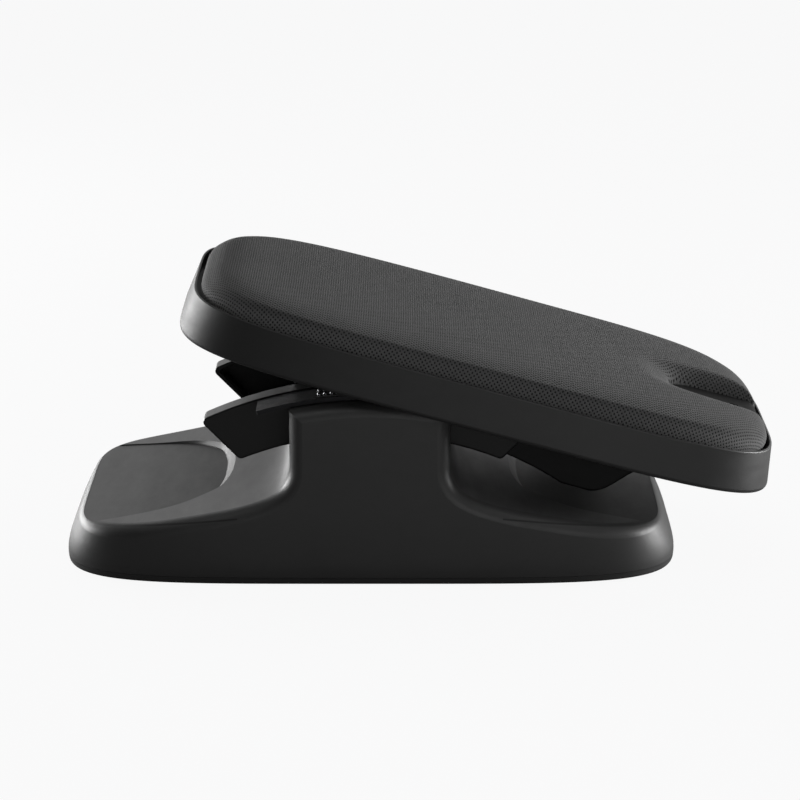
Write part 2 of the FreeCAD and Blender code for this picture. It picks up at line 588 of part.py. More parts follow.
# axles, spacer washers and retaining clips of the guide rollers
axles, washers, clips = [], [], []
for ang in (-ROLL_ANG, ROLL_ANG):
    p = arc_pt(ROLL_TRACK, ang)
    a = cyl_y(AXLE_R, p.x, p.z, -76.4, -KEEL_Y + 15.5)
    groove = cyl_y(AXLE_R + 1, p.x, p.z, -76.1, -75.5).cut(cyl_y(3.3, p.x, p.z, -77, -75))
    axles.append(a.cut(groove))
    washers.append(cyl_y(6.6, p.x, p.z, -ROLL_Y0 + 0.3, -KEEL_Y).cut(cyl_y(AXLE_R, p.x, p.z, -70, -50)))
    ring = cyl_y(6.2, p.x, p.z, -76.1, -75.5).cut(cyl_y(3.3, p.x, p.z, -80, -70))
    gap = Part.makeBox(4.0, 2.0, 8.0, V(p.x - 2.0, -76.8, p.z - 8.0))
    clips.append(one_solid(ring.cut(gap)))
for group, name in ((axles, "roller_axles"), (washers, "axle_washers"), (clips, "axle_clips")):
    full = [tilt(s) for s in group] + [tilt(mirror_y(s)) for s in group]
    export(name, Part.makeCompound(full))

# guide rollers with bronze bushes
for side, sy in (("near", -1), ("far", 1)):
    for tag, ang in (("left", -ROLL_ANG), ("right", ROLL_ANG)):
        p = arc_pt(ROLL_TRACK, ang)
        y0, y1 = (-ROLL_Y1, -ROLL_Y0)
        wheel = cyl_y(ROLL_R, p.x, p.z, y0, y1)
        wheel = wheel.makeFillet(1.0, [e for e in wheel.Edges if abs(e.Length - 2 * math.pi * ROLL_R) < 1e-3])
        ring = cyl_y(12.4, p.x, p.z, y0 - 1, y0 + 1.6).cut(cyl_y(8.6, p.x, p.z, y0 - 2, y0 + 3))
        ring2 = cyl_y(12.4, p.x, p.z, y1 - 1.6, y1 + 1).cut(cyl_y(8.6, p.x, p.z, y1 - 3, y1 + 2))
        wheel = wheel.cut(ring).cut(ring2).cut(cyl_y(BUSH_R, p.x, p.z, y0 - 1, y1 + 1))
        bush = cyl_y(BUSH_R, p.x, p.z, y0, y1).cut(cyl_y(AXLE_R + FIT, p.x, p.z, y0 - 1, y1 + 1))
        if sy > 0:
            wheel, bush = mirror_y(wheel), mirror_y(bush)
        export("%s_%s_roller" % (side, tag), tilt(wheel))
        export("%s_%s_bush" % (side, tag), tilt(bush))

# ----------------------------------------------------------------------- pad
board = sup_plate(PAD_A - 3.0, PAD_B - 3.0, zl(FLOOR_Z1), zl(BOARD_TOP), PLAT_X)
for x, y in BOARD_SCREWS:
    board = board.cut(cyl_z(1.55, x, y, zl(FLOOR_Z1) - 1, zl(FLOOR_Z1) + 3.4))
export("pad_board", tilt(board))

bs = []
for x, y in BOARD_SCREWS:
    s = cyl_z(4.0, x, y, zl(FLOOR_Z0) - 1.8, zl(FLOOR_Z0)).fuse(
        cyl_z(1.5, x, y, zl(FLOOR_Z0), zl(FLOOR_Z1) + 3.2)).removeSplitter()
    bs.append(tilt(s))
export("pad_screws", Part.makeCompound(bs))


def notch_tool(grow, low):
    cx = 240.0
    lower = Part.Face(sup_wire(cx - NOTCH_X + grow, NOTCH_Y + grow, zl(low), cx, 4.6, 48)).extrude(V(0, 0, TRIM_TOP - low))
    flare = Part.makeLoft([sup_wire(cx - NOTCH_X + grow, NOTCH_Y + grow, zl(TRIM_TOP), cx, 4.6, 48),
                           sup_wire(cx - 138.0 + grow, 33.2 + grow, zl(317.4), cx, 4.2, 48),
                           sup_wire(cx - 128.0 + grow, 38.6 + grow, zl(322.0), cx, 3.8, 48),
                           sup_wire(cx - NOTCH_TOP_X + grow + 8.0, NOTCH_TOP_Y + grow + 6.0, zl(324.4), cx, 3.6, 48)], True, True)
    return lower.fuse(flare)


def pad_solid(inset, z0):
    sect = [(zl(z0), PAD_A - inset, PAD_B - inset)]
    for h, ia, ib in PAD_SECT[1:]:
        sect.append((zl(h - inset), PAD_A - inset - ia, PAD_B - inset - ib))
    return sup_loft(sect, PLAT_X, ruled=True)


cover = pad_solid(0.0, PAD_Z0).cut(notch_tool(0.0, 290.0))
cover_in = pad_solid(COVER_T, PAD_Z0 - 1.0).cut(notch_tool(COVER_T, BOARD_TOP + 0.15))
cover = one_solid(cover.cut(cover_in))
export("pad_cover", tilt(cover))
foam = one_solid(pad_solid(COVER_T + 0.3, BOARD_TOP + 0.3).cut(notch_tool(COVER_T + 0.3, 289.0)))
export("pad_foam", tilt(foam))

# hard trim in the floor of the grip notch
cx = 240.0


def trim_block(inset, top, low, end_x, end_r):
    b = Part.Face(sup_wire(cx - NOTCH_X - 0.4 - inset, NOTCH_Y - 0.4 - inset, zl(low), cx, 4.6, 48)).extrude(V(0, 0, top - low))
    prof = [line(V(100, 0, zl(low)), V(end_x, 0, zl(low))), line(V(end_x, 0, zl(low)), V(end_x, 0, zl(top - end_r))),
            arc3(V(end_x, 0, zl(top - end_r)), V(end_x - end_r * (1 - math.cos(math.radians(45))), 0, zl(top - end_r * (1 - math.sin(math.radians(45))))),
                 V(end_x - end_r, 0, zl(top))),
            line(V(end_x - end_r, 0, zl(top)), V(100, 0, zl(top))), line(V(100, 0, zl(top)), V(100, 0, zl(low)))]
    return b.common(prism_y(prof, -60, 60))


trim = trim_block(0.0, TRIM_TOP, BOARD_TOP, 216.6, 9.0)
trim = trim.cut(trim_block(2.4, TRIM_TOP - 2.6, BOARD_TOP - 1.0, 214.0, 7.0))
for x in (163.0, 195.0):
    slot = Part.makeBox(7.6, 13.0, 10.0, V(x - 3.8, -6.5, zl(TRIM_TOP) - 5.0))
    slot = slot.makeFillet(1.8, [e for e in slot.Edges if abs(e.Length - 10.0) < 1e-6])
    trim = trim.cut(slot)
trim = one_solid(trim)
export("grip_trim", tilt(trim))
print("done")
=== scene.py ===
import math

import bpy
import bmesh
import numpy as np
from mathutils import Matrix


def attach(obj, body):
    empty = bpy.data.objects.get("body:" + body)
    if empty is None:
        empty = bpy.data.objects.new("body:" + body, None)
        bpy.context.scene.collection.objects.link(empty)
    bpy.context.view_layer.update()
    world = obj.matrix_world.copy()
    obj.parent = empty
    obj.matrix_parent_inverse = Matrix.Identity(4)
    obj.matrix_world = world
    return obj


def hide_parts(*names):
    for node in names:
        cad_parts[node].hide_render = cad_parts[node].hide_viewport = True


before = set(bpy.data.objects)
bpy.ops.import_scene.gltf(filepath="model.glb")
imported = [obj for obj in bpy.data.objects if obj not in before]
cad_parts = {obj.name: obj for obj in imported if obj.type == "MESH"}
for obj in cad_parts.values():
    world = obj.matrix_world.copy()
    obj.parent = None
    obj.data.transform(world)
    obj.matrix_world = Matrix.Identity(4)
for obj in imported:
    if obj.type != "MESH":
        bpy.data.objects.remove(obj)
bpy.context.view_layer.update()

# Rocking footrest. Metres, +X along the length, +Y across the depth, +Z up.
# Lengths named in millimetres below are those of the platform before it is tilted.
ARC_Z, TILT = -146.2, math.radians(15.4)
scene = bpy.context.scene


def to_world(x, y, z):
    """Platform's own millimetres (height from the arc centre) to metres at the resting tilt."""
    c, s = math.cos(TILT), math.sin(TILT)
    return np.stack([x * c + z * s, y, ARC_Z - x * s + z * c], -1) / 1000.0


# ------------------------------------------------------------------ materials
class Tree:
    """A small helper that writes shader nodes."""

    def __init__(self, name):
        self.mat = bpy.data.materials.new(name)
        self.mat.use_nodes = True
        self.nt = self.mat.node_tree
        self.nt.nodes.clear()
        self.out = self.add("ShaderNodeOutputMaterial")
        self.bsdf = self.add("ShaderNodeBsdfPrincipled")
        self.nt.links.new(self.bsdf.outputs[0], self.out.inputs[0])
        self.coord = None

    def add(self, kind, **props):
        n = self.nt.nodes.new(kind)
        for k, v in props.items():
            setattr(n, k, v)
        return n

    def link(self, a, b):
        self.nt.links.new(a, b)

    def put(self, node, name, value):
        sock = node.inputs[name]
        if isinstance(value, bpy.types.NodeSocket):
            self.link(value, sock)
        else:
            sock.default_value = value

    def obj(self):
        if self.coord is None:
            self.coord = self.add("ShaderNodeTexCoord")
        return self.coord.outputs["Object"]

    def math(self, op, a, b=None, c=None, clamp=False):
        n = self.add("ShaderNodeMath", operation=op, use_clamp=clamp)
        for k, v in enumerate((a, b, c)):
            if v is not None:
                self.put(n, k, v)
        return n.outputs[0]

    def noise(self, scale, detail=3.0, rough=0.55, vector=None, distortion=0.0):
        n = self.add("ShaderNodeTexNoise")
        self.put(n, "Vector", vector or self.obj())
        self.put(n, "Scale", scale)
        self.put(n, "Detail", detail)
        self.put(n, "Roughness", rough)
        self.put(n, "Distortion", distortion)
        return n.outputs[0]

    def stretch(self, sx, sy, sz, vector=None):
        n = self.add("ShaderNodeMapping")
        self.put(n, "Vector", vector or self.obj())
        n.inputs["Scale"].default_value = (sx, sy, sz)
        return n.outputs[0]

    def remap(self, value, a, b, c, d, kind="LINEAR"):
        n = self.add("ShaderNodeMapRange", interpolation_type=kind)
        for k, v in enumerate((value, a, b, c, d)):
            self.put(n, k, v)
        return n.outputs[0]

    def mix(self, f, a, b):
        n = self.add("ShaderNodeMix", data_type="RGBA")
        self.put(n, 0, f)
        for k, v in ((6, a), (7, b)):
            self.put(n, k, v if isinstance(v, bpy.types.NodeSocket) else (*v, 1.0))
        return n.outputs[2]

    def bump(self, height, strength, distance, normal=None):
        n = self.add("ShaderNodeBump")
        self.put(n, "Height", height)
        self.put(n, "Strength", strength)
        self.put(n, "Distance", distance)
        if normal is not None:
            self.put(n, "Normal", normal)
        return n.outputs[0]

    def edges(self, radius, low=0.02, high=0.16):
        """1 on a sharp edge, 0 on the flat: the bevelled normal against the true one."""
        bev = self.add("ShaderNodeBevel", samples=4)
        self.put(bev, "Radius", radius)
        geo = self.add("ShaderNodeNewGeometry")
        dot = self.add("ShaderNodeVectorMath", operation="DOT_PRODUCT")
        self.link(bev.outputs[0], dot.inputs[0])
        self.link(geo.outputs["Normal"], dot.inputs[1])
        return self.remap(self.math("SUBTRACT", 1.0, dot.outputs["Value"]), low, high, 0.0, 1.0, "SMOOTHSTEP")


def grey(v, warm=0.0):
    return (v * (1.0 + warm), v, v * (1.0 - warm))


def dish_floor(t):
    """Distance from the middle, and 1 on the two dish floors of the base, found by the height of their sloping plane."""
    sep = t.add("ShaderNodeSeparateXYZ")
    t.link(t.obj(), sep.inputs[0])
    out = t.math("ABSOLUTE", sep.outputs[0])
    plane = t.math("MULTIPLY_ADD", out, -0.11, 0.0403 + 0.206 * 0.11)
    off = t.math("ABSOLUTE", t.math("SUBTRACT", sep.outputs[2], plane))
    return out, t.math("MULTIPLY", t.remap(off, 0.0003, 0.0007, 1.0, 0.0), t.math("GREATER_THAN", out, 0.094))


def plastic(name, tone, rough=0.42, grain=0.00035, depth=0.00003, wear=0.5, spec=0.5, warm=0.0, painted_dish_shade=False, high_end=None):
    """Moulded plastic with a fine spark-eroded grain, faint handling marks and paler edges."""
    t = Tree(name)
    t.bsdf.inputs["Specular IOR Level"].default_value = spec
    fine = t.noise(1.0 / grain, 2.0, 0.6)
    pores = t.add("ShaderNodeTexVoronoi", feature="F1")
    t.put(pores, "Vector", t.obj())
    t.put(pores, "Scale", 0.75 / grain)
    patches = t.noise(9.0, 4.0, 0.6)
    smear = t.noise(60.0, 3.0, 0.65, t.stretch(1.0, 0.35, 2.2))
    base = t.mix(t.remap(patches, 0.3, 0.7, 0.0, 1.0), grey(tone * 0.93, warm), grey(tone * 1.07, warm))
    base = t.mix(t.remap(fine, 0.35, 0.65, 0.0, 0.22), base, grey(tone * 0.72, warm))
    worn = t.math("MULTIPLY", t.edges(0.0006), t.remap(t.noise(240.0, 4.0, 0.7), 0.42, 0.62, 0.0, wear))
    base = t.mix(worn, base, grey(tone * 2.2 + 0.01, warm))
    r = t.remap(smear, 0.3, 0.7, rough - 0.035, rough + 0.045)
    r = t.math("ADD", r, t.remap(fine, 0.3, 0.7, -0.03, 0.03), clamp=True)
    if painted_dish_shade:      # painted shade: the foot dish floors are painted darker and their specular fades towards the pillar, standing in for the shade of the recess and of the platform above; their finish is also slightly rougher
        out, floor_mask = dish_floor(t)
        base = t.mix(t.math("MULTIPLY", floor_mask, 0.45), base, grey(tone * 0.5, warm))
        dish_shade_spec = t.remap(out, 0.108, 0.215, 0.20, 0.44)
        t.put(t.bsdf, "Specular IOR Level", t.math("ADD", t.math("MULTIPLY", floor_mask, dish_shade_spec), t.math("MULTIPLY", t.math("SUBTRACT", 1.0, floor_mask), spec)))
        r = t.math("ADD", r, t.math("MULTIPLY", floor_mask, 0.03), clamp=True)
    if high_end is not None:      # the polish of the skirt is lower towards the end that is up at rest
        sep = t.add("ShaderNodeSeparateXYZ")
        t.link(t.obj(), sep.inputs[0])
        t.put(t.bsdf, "Specular IOR Level", t.remap(sep.outputs[0], -0.15, 0.15, high_end, spec))
        r = t.math("ADD", r, t.remap(sep.outputs[0], -0.15, 0.15, 0.13, 0.0), clamp=True)
    t.put(t.bsdf, "Base Color", base)
    t.put(t.bsdf, "Roughness", r)
    height = t.math("ADD", t.math("MULTIPLY", fine, 0.7), t.math("MULTIPLY", pores.outputs["Distance"], 0.5))
    t.put(t.bsdf, "Normal", t.bump(height, 0.35, depth))
    return t.mat


def rubber(name, tone):
    t = Tree(name)
    t.bsdf.inputs["Specular IOR Level"].default_value = 0.3
    fine = t.noise(2600.0, 3.0, 0.7)
    dust = t.noise(38.0, 5.0, 0.7)
    c = t.mix(t.remap(dust, 0.5, 0.75, 0.0, 0.35), grey(tone), grey(tone * 2.6, 0.03))
    c = t.mix(t.remap(fine, 0.4, 0.7, 0.0, 0.3), c, grey(tone * 0.5))
    t.put(t.bsdf, "Base Color", c)
    t.put(t.bsdf, "Roughness", t.remap(dust, 0.3, 0.8, 0.62, 0.8))
    t.put(t.bsdf, "Normal", t.bump(fine, 0.6, 0.00006))
    return t.mat


def metal(name, color, rough=0.32, brushed=(1.0, 30.0, 1.0), scale=900.0, tarnish=0.4, spots=0.0):
    """Bright metal: brushing or drawing marks, a duller film in patches, and lighter corners."""
    t = Tree(name)
    t.bsdf.inputs["Metallic"].default_value = 1.0
    marks = t.noise(scale, 3.0, 0.65, t.stretch(*brushed))
    film = t.noise(70.0, 5.0, 0.65)
    dark = tuple(c * 0.55 for c in color)
    light = tuple(min(1.0, c * 1.18) for c in color)
    c = t.mix(t.remap(film, 0.42, 0.7, 0.0, tarnish), color, dark)
    c = t.mix(t.remap(marks, 0.35, 0.7, 0.0, 0.35), c, dark)
    if spots:
        cells = t.add("ShaderNodeTexVoronoi", feature="F1")
        t.put(cells, "Vector", t.obj())
        t.put(cells, "Scale", 420.0)
        c = t.mix(t.remap(cells.outputs["Color"], 0.2, 0.8, 0.0, spots), c, light)
    c = t.mix(t.edges(0.0004), c, light)
    t.put(t.bsdf, "Base Color", c)
    t.put(t.bsdf, "Roughness", t.math("ADD", t.remap(marks, 0.3, 0.7, rough - 0.07, rough + 0.08), t.remap(film, 0.4, 0.7, 0.0, 0.12), clamp=True))
    t.put(t.bsdf, "Normal", t.bump(marks, 0.3, 0.00003))
    return t.mat


def wood(name):
    """Plywood: long grain with pores and a few darker bands."""
    t = Tree(name)
    v = t.stretch(0.08, 1.0, 1.0)
    rings = t.add("ShaderNodeTexWave", wave_type="RINGS", rings_direction="X", wave_profile="SAW")
    t.put(rings, "Vector", t.stretch(0.3, 1.0, 1.0))
    t.put(rings, "Scale", 46.0)
    t.put(rings, "Distortion", 5.0)
    t.put(rings, "Detail", 4.0)
    pores = t.noise(1500.0, 3.0, 0.7, v)
    c = t.mix(rings.outputs["Fac"], (0.46, 0.30, 0.16), (0.30, 0.17, 0.08))
    c = t.mix(t.remap(pores, 0.55, 0.72, 0.0, 0.7), c, (0.14, 0.08, 0.035))
    t.put(t.bsdf, "Base Color", c)
    t.put(t.bsdf, "Roughness", t.remap(pores, 0.3, 0.7, 0.55, 0.75))
    t.put(t.bsdf, "Normal", t.bump(pores, 0.5, 0.0001))
    return t.mat


PITCH_U, PITCH_V = 3.42, 3.6      # mm, knit of the pad: holes at the corners and centre of each cell


def fabric(name, tone=0.090):
    """Spacer knit: staggered eyelets between looped yarns, from the sheet's own flat coordinates."""
    t = Tree(name)
    uv = t.add("ShaderNodeUVMap", uv_map="knit")
    sep = t.add("ShaderNodeSeparateXYZ")
    t.link(uv.outputs[0], sep.inputs[0])
    u = t.math("MULTIPLY", sep.outputs[0], 1000.0 / PITCH_U)      # one unit is one cell
    v = t.math("MULTIPLY", sep.outputs[1], 1000.0 / PITCH_V)

    def eyelet(du, dv):
        a = t.math("SUBTRACT", t.math("FRACT", t.math("ADD", u, 0.5 + du)), 0.5)
        b = t.math("SUBTRACT", t.math("FRACT", t.math("ADD", v, 0.5 + dv)), 0.5)
        a = t.math("MULTIPLY", a, PITCH_U)
        b = t.math("MULTIPLY", b, PITCH_V * 0.80)
        return t.math("SQRT", t.math("ADD", t.math("MULTIPLY", a, a), t.math("MULTIPLY", b, b)))
    d = t.math("MINIMUM", eyelet(0.0, 0.0), eyelet(0.5, 0.5))
    wob = t.noise(900.0, 3.0, 0.6)
    d = t.math("ADD", d, t.remap(wob, 0.3, 0.7, -0.10, 0.10))
    hole = t.remap(d, 0.40, 0.74, 1.0, 0.0, "SMOOTHSTEP")
    # yarn loops: fine filaments that run round the eyelets
    loops = t.math("MULTIPLY_ADD", t.math("SINE", t.math("MULTIPLY", d, 17.0)), 0.5, 0.5)
    hairs = t.noise(5200.0, 2.0, 0.6, t.stretch(1.0, 0.35, 1.0))
    patches = t.noise(26.0, 4.0, 0.6)
    melange = t.noise(700.0, 2.0, 0.6, t.stretch(1.0, 0.25, 1.0))
    c = t.mix(t.remap(patches, 0.3, 0.7, 0.0, 1.0), grey(tone * 0.95), grey(tone * 1.05))
    # painted light: the knit on the outer side band is painted paler, standing in for light falling on that band from
    # the front
    across = t.math("POWER", t.math("ABSOLUTE", t.math("DIVIDE", sep.outputs[0], 0.213)), 4.6)
    along = t.math("POWER", t.math("ABSOLUTE", t.math("DIVIDE", sep.outputs[1], 0.122)), 4.6)
    rho = t.math("POWER", t.math("ADD", across, along), 1.0 / 4.6)
    c = t.mix(t.remap(rho, 0.985, 1.03, 0.0, 0.85, "SMOOTHSTEP"), c, grey(tone * 1.85))
    c = t.mix(t.remap(hairs, 0.35, 0.65, 0.0, 0.3), c, grey(tone * 0.66))
    c = t.mix(t.remap(melange, 0.45, 0.7, 0.0, 0.24), c, grey(tone * 1.4))
    c = t.mix(t.math("MULTIPLY", loops, 0.18), c, grey(tone * 0.6))
    c = t.mix(hole, c, grey(0.009))
    t.put(t.bsdf, "Base Color", c)
    t.put(t.bsdf, "Roughness", t.remap(hairs, 0.3, 0.7, 0.78, 0.95))
    t.bsdf.inputs["Specular IOR Level"].default_value = 0.12
    t.bsdf.inputs["Sheen Weight"].default_value = 0.07
    t.bsdf.inputs["Sheen Roughness"].default_value = 0.5
    h = t.math("SUBTRACT", t.math("MULTIPLY", loops, 0.25), t.math("MULTIPLY", hole, 1.0))
    h = t.math("ADD", h, t.math("MULTIPLY", hairs, 0.25))
    t.put(t.bsdf, "Normal", t.bump(h, 0.6, 0.00025))
    return t.mat


MATS = {
    # the base's plastic carries painted shade on its two dish floors
    "base_plastic": plastic("base_plastic", 0.038, rough=0.48, wear=0.1, spec=0.57, painted_dish_shade=True),
    "pan_plastic": plastic("pan_plastic", 0.034, rough=0.5),
    "sole_rubber": rubber("sole_rubber", 0.012),
    "zinc_steel": metal("zinc_steel", (0.62, 0.63, 0.65), 0.34, (1.0, 1.0, 1.0), 500.0, 0.35, spots=0.25),
    "ballast_steel": metal("ballast_steel", (0.16, 0.15, 0.145), 0.55, (4.0, 1.0, 1.0), 260.0, 0.6),
    "rail_plastic": plastic("rail_plastic", 0.007, rough=0.38, wear=0.4),
    "flange_steel": metal("flange_steel", (0.042, 0.042, 0.044), 0.45, (1.0, 14.0, 1.0), 700.0, 0.3),
    "cage_plastic": plastic("cage_plastic", 0.02, rough=0.35, wear=0.2),
    "ball_steel": metal("ball_steel", (0.22, 0.22, 0.23), 0.20, (1.0, 1.0, 1.0), 1200.0, 0.12),
    "plate_steel": metal("plate_steel", (0.45, 0.45, 0.46), 0.45, (1.0, 1.0, 20.0), 600.0, 0.5),
    "rim_plastic": plastic("rim_plastic", 0.031, rough=0.43, wear=0.15, spec=0.62, high_end=0.28),
    "keel_plastic": plastic("keel_plastic", 0.003, rough=0.5, wear=0.3, spec=0.35),
    "slide_plastic": plastic("slide_plastic", 0.012, rough=0.33, wear=0.3),
    "axle_steel": metal("axle_steel", (0.6, 0.6, 0.61), 0.24, (1.0, 12.0, 1.0), 1400.0, 0.25),
    "board_wood": wood("board_wood"),
    "trim_plastic": plastic("trim_plastic", 0.0065, rough=0.7, wear=0.4, spec=0.16),
    "roller_plastic": plastic("roller_plastic", 0.55, rough=0.36, wear=0.1, warm=0.03),
    "bush_bronze": metal("bush_bronze", (0.55, 0.34, 0.16), 0.36, (1.0, 8.0, 1.0), 800.0, 0.5),
}
MATS["mesh_fabric"] = fabric("mesh_fabric")
MATS["foam"] = rubber("foam", 0.03)

NODE_SLOT = {
    "base_shell": "base_plastic", "base_pan": "pan_plastic", "rubber_sole": "sole_rubber", "base_screws": "zinc_steel",
    "ballast_bars": "ballast_steel", "near_rail_housing": "rail_plastic", "far_rail_housing": "rail_plastic",
    "near_slide_flange": "flange_steel", "far_slide_flange": "flange_steel", "near_ball_strip": "cage_plastic",
    "far_ball_strip": "cage_plastic", "near_bearing_balls": "ball_steel", "far_bearing_balls": "ball_steel",
    "near_mount_plate": "plate_steel", "far_mount_plate": "plate_steel", "rail_screws": "zinc_steel",
    "rail_end_bumpers": "sole_rubber", "platform_tray": "rim_plastic", "carriage_keel": "keel_plastic",
    "near_moving_rail": "slide_plastic", "far_moving_rail": "slide_plastic", "platform_screws": "zinc_steel",
    "roller_axles": "axle_steel", "axle_washers": "zinc_steel", "axle_clips": "plate_steel", "pad_board": "board_wood",
    "pad_screws": "zinc_steel", "grip_trim": "trim_plastic",
    "near_left_roller": "roller_plastic", "near_right_roller": "roller_plastic", "far_left_roller": "roller_plastic",
    "far_right_roller": "roller_plastic", "near_left_bush": "bush_bronze", "near_right_bush": "bush_bronze",
    "far_left_bush": "bush_bronze", "far_right_bush": "bush_bronze",
}
for node, slot in NODE_SLOT.items():
    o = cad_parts[node]
    if not o.material_slots:
        o.data.materials.append(None)
    for s in o.material_slots:
        s.link = "OBJECT"
        s.material = MATS[slot]


# ------------------------------------------------------------------------ pad
PAD_A, PAD_B, PAD_N, PAD_X = 213.0, 122.0, 4.6, 2.0
# height, end inset, far side inset, near side inset of the rounding from the wall up to the crown
SECT = np.array([(306.9, 0.0, 0.0, 0.0), (309.3, 0.8, 0.1, 0.25), (311.6, 2.4, 0.4, 0.5), (315.5, 6.6, 1.3, 1.0),
                 (317.4, 9.6, 2.0, 1.6), (318.7, 12.6, 2.8, 3.4), (321.2, 21.8, 5.6, 13.5), (322.7, 36.0, 10.5, 27.0), (323.4, 58.0, 20.0, 42.0)])
PAD_LOW = 299.0


def catmull(points, per=24):
    """Smooth rows through the given rows."""
    p = np.vstack([2 * points[0] - points[1], points, 2 * points[-1] - points[-2]])
    out = []
    for k in range(1, len(p) - 2):
        t = np.linspace(0, 1, per, endpoint=False)[:, None]
        a, b, c, d = p[k - 1], p[k], p[k + 1], p[k + 2]
        out.append(0.5 * (2 * b + (c - a) * t + (2 * a - 5 * b + 4 * c - d) * t ** 2 + (3 * b - a - 3 * c + d) * t ** 3))
    out.append(p[-2][None])
    return np.vstack(out)


prof = catmull(SECT)
TAU = np.arange(len(prof), dtype=float)


def height_at(x, y):
    """Height of the pad's crowned top over a point of the plan, without its notch."""
    is_near = y < 0.0
    x, y = np.abs(x), np.abs(y)
    lo, hi = np.zeros_like(x), np.full_like(x, TAU[-1])
    for _ in range(30):
        mid = 0.5 * (lo + hi)
        a = PAD_A - np.interp(mid, TAU, prof[:, 1])
        b = PAD_B - np.where(is_near, np.interp(mid, TAU, prof[:, 3]), np.interp(mid, TAU, prof[:, 2]))
        inside = (x / a) ** PAD_N + (y / b) ** PAD_N < 1.0
        lo = np.where(inside, mid, lo)
        hi = np.where(inside, hi, mid)
    z = np.interp(lo, TAU, prof[:, 0])
    rho = ((x / (PAD_A - 58.0)) ** PAD_N + (y / np.where(is_near, PAD_B - 42.0, PAD_B - 20.0)) ** PAD_N) ** (1.0 / PAD_N)
    crown = 0.9 * (1.0 - np.exp(-6.0 * np.clip(1.0 - rho, 0.0, 1.0)))
    return np.where(rho < 1.0, 323.4 + crown, z)


# finger notch: height, half length from x 240, half width on the near side and on the far side, plan exponent
NOTCH_CX = 240.0
NOTCH = np.array([(309.5, 95.2, 27.6, 27.6, 4.6), (313.2, 97.2, 29.4, 28.6, 4.4), (316.3, 100.2, 32.6, 29.7, 4.2),
                  (318.5, 104.4, 37.2, 30.8, 4.0), (320.3, 109.4, 42.8, 32.0, 3.8), (321.9, 114.4, 49.2, 33.6, 3.6),
                  (323.3, 118.8, 56.0, 36.6, 3.5), (324.8, 124.0, 65.0, 43.0, 3.4)])
nprof = catmull(NOTCH, 16)
NTAU = np.arange(len(nprof), dtype=float)


def notch_height(x, y):
    far = y > 0.0
    x, y = np.abs(x - NOTCH_CX), np.abs(y)
    lo, hi = np.zeros_like(x), np.full_like(x, NTAU[-1])
    for _ in range(26):
        mid = 0.5 * (lo + hi)
        a, near_b, far_b, n = (np.interp(mid, NTAU, nprof[:, k]) for k in (1, 2, 3, 4))
        b = np.where(far, far_b, near_b)
        outside = (x / a) ** n + (y / b) ** n > 1.0
        lo = np.where(outside, mid, lo)
        hi = np.where(outside, hi, mid)
    return np.interp(lo, NTAU, nprof[:, 0]) + np.where(lo > NTAU[-1] - 0.01, 30.0, 0.0)


def notch_rho(x, y):
    return (np.abs((x - NOTCH_CX) / 95.2) ** 4.6 + np.abs(y / 27.6) ** 4.6) ** (1.0 / 4.6)


def soft_min(a, b, r):
    h = np.clip(0.5 + 0.5 * (b - a) / r, 0.0, 1.0)
    return b * (1 - h) + a * h - r * h * (1 - h)


def down_the_walls(x, y):
    """Where a point of the flat sheet lies once the sheet runs down the notch's long walls at its own length."""
    xs, ys = np.arange(100.0, 219.0), np.arange(18.0, 74.01, 0.1)
    gx, gy = np.meshgrid(xs, ys, indexing="ij")
    out = y.copy()
    for side in (-1.0, 1.0):
        z = soft_min(height_at(np.clip(gx - PAD_X, 0.0, PAD_A * 0.9999), side * gy), notch_height(gx, side * gy), 1.6)
        seg = np.sqrt(np.diff(z, axis=1) ** 2 + 0.01)
        run = np.concatenate([np.cumsum(seg[:, ::-1], axis=1)[:, ::-1], np.zeros((len(xs), 1))], axis=1)
        flat = np.concatenate([np.zeros((len(xs), 1)), ys[-1] - run], axis=1)
        to = np.concatenate([[0.0], ys])
        mine = (side * y > 0.0) & (np.abs(y) < 73.9) & (x > 100.5) & (x < 217.5)
        k = np.floor(x - 100.0).astype(int)
        for row in range(len(xs) - 1):
            m = mine & (k == row)
            if m.any():
                f, v = x[m] - xs[row], np.abs(y[m])
                moved = np.interp(v, flat[row], to) * (1.0 - f) + np.interp(v, flat[row + 1], to) * f
                w = np.clip((x[m] - 126.0) / 40.0, 0.0, 1.0)
                out[m] = side * (v + w * w * (3.0 - 2.0 * w) * (moved - v))
    return out


def outline_quarter(count=700):
    t = np.linspace(0.0, math.pi / 2, 20001)
    x = PAD_A * np.cos(t) ** (2.0 / PAD_N)
    y = PAD_B * np.sin(t) ** (2.0 / PAD_N)
    run = np.concatenate([[0], np.cumsum(np.hypot(np.diff(x), np.diff(y)))])
    s = np.linspace(0, run[-1], count)
    x, y = np.interp(s, run, x), np.interp(s, run, y)
    nx = (x / PAD_A) ** (PAD_N - 1) / PAD_A
    ny = (y / PAD_B) ** (PAD_N - 1) / PAD_B
    m = np.hypot(nx, ny)
    return np.stack([x, y], -1), np.stack([nx / m, ny / m], -1)


